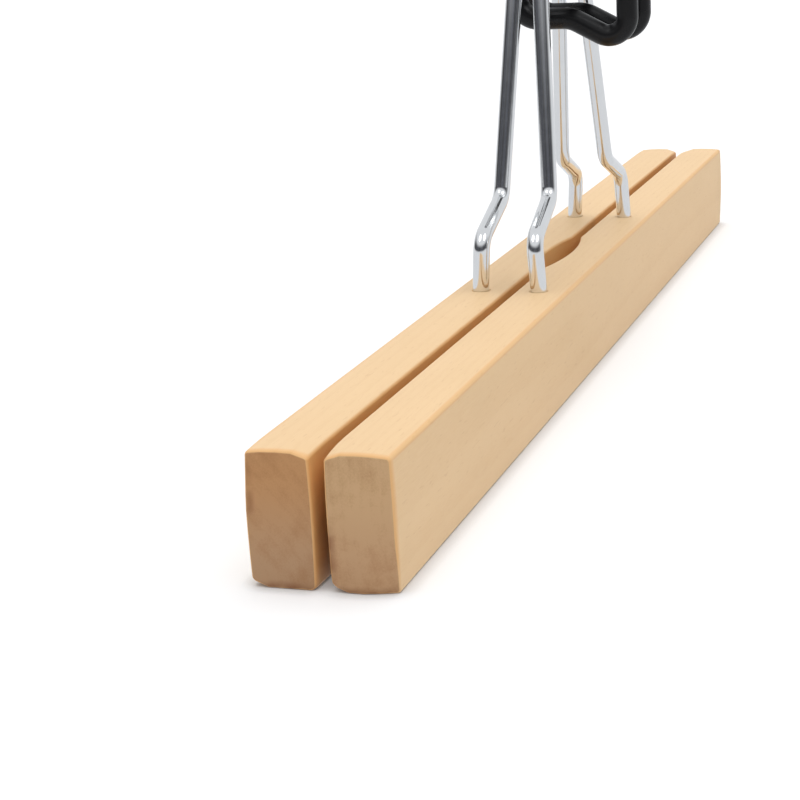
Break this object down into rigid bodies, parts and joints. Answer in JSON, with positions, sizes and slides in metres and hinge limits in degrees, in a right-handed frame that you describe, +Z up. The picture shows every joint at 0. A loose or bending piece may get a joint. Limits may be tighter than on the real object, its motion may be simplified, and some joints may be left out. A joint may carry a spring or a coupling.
{
  "type": "skirt hanger",
  "caption": "Clamp hanger with wooden jaw bars on hinged chrome wire frames, a swivel hook and a vinyl-dipped lock slide that squeezes the jaws shut.",
  "frame": {"origin": "on the surface that the bars stand on, midway between the two bars and midway along them", "axes": "+X along the bars, +Y from the thumb tab's side to the rear, +Z up to the hook"},
  "size_m": [0.285, 0.0307, 0.1569],
  "materials": {
    "bar_wood": "smooth, clear coat",
    "bright_wire": "polished plate",
    "core_steel": "drawn wire",
    "black_vinyl": "gloss dip"
  },
  "bodies": {
    "head": {"hinge_strap": "bright_wire", "hook_washer": "bright_wire"},
    "swivel_hook": {"hook": "bright_wire"},
    "front_jaw": {"front_bar": "bar_wood", "front_frame": "bright_wire"},
    "rear_jaw": {"rear_bar": "bar_wood", "rear_frame": "bright_wire"},
    "lock_slide": {"lock_slide_wire": "core_steel", "lock_slide_coating": "black_vinyl"}
  },
  "joints": [
    {"name": "hook_swivel", "type": "hinge", "parent": "head", "child": "swivel_hook", "pos_m": [0, 0, 0.097], "axis": [0, 0, 1], "continuous": true},
    {"name": "front_swing", "type": "hinge", "parent": "head", "child": "front_jaw", "pos_m": [0, -0.00181, 0.09], "axis": [-1, 0, 0], "range_deg": [-0.4, 13.3]},
    {"name": "rear_swing", "type": "hinge", "parent": "head", "child": "rear_jaw", "pos_m": [0, 0.00181, 0.09], "axis": [1, 0, 0], "range_deg": [-0.4, 13.3]},
    {"name": "lock_travel", "type": "slide", "parent": "head", "child": "lock_slide", "axis": [0, 0, 1], "range_m": [-0.00044, 0.01402]}
  ],
  "couplings": [
    {"joint": "rear_swing", "follows": "front_swing", "ratio": 1},
    {"joint": "lock_travel", "follows": "front_swing", "m_per_rad": 0.0603}
  ]
}
